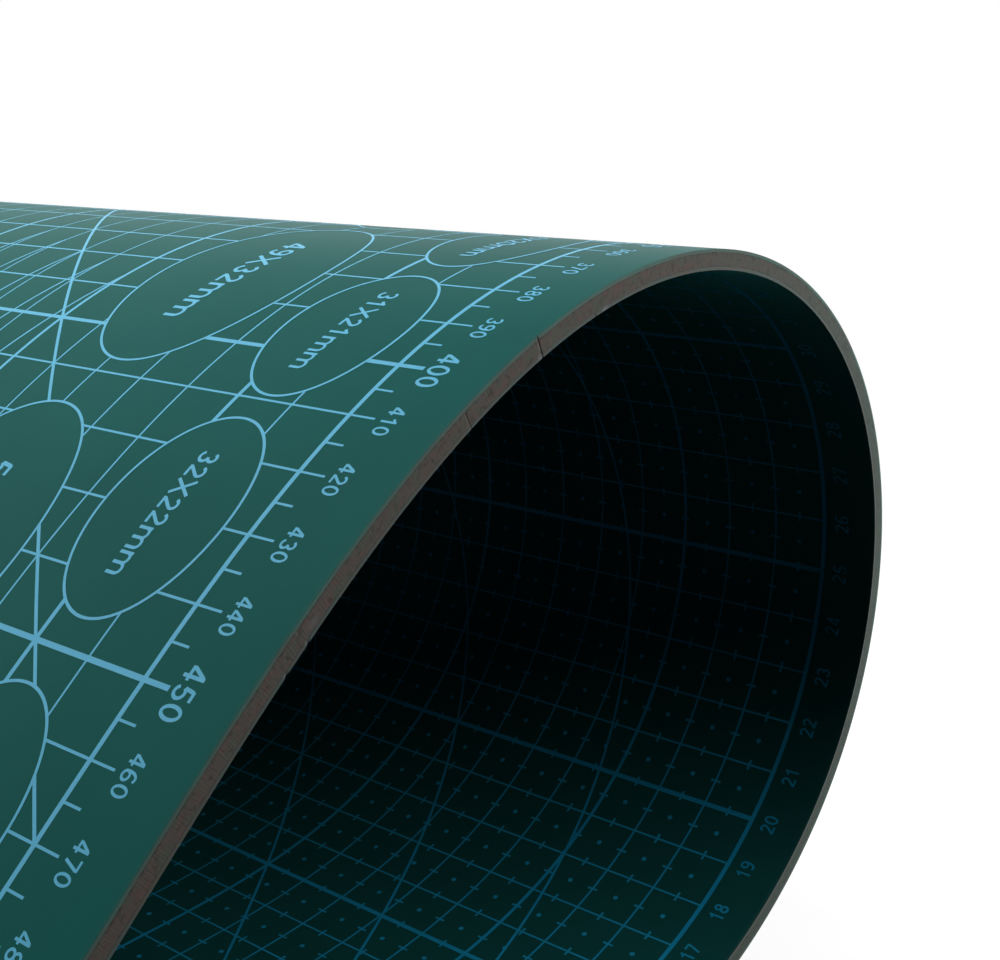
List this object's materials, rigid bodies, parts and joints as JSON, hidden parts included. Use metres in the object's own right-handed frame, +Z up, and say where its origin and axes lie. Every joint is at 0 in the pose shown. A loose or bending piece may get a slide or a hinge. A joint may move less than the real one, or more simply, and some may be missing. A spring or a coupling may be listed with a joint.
{
  "type": "cutting mat",
  "caption": "Self-healing cutting mat of laminated PVC, curled over on itself on a table, with a measuring grid on both faces.",
  "frame": {"origin": "middle of the bounding box, on the table that the mat lies on", "axes": "+X along the mat's length, from the open end towards the loop; +Y across the mat's width, along the curl's axis; +Z up"},
  "size_m": [0.2584, 0.45, 0.1274],
  "materials": {
    "front_green_pvc": "fine matt grain, calendered green PVC with a printed millimetre grid",
    "core_grey_pvc": "guillotined edge of filled grey-brown PVC",
    "back_green_pvc": "fine matt grain, calendered green PVC with a printed centimetre grid"
  },
  "bodies": {
    "root": {"front_skin": "front_green_pvc", "core": "core_grey_pvc", "back_skin": "back_green_pvc"}
  },
  "joints": []
}
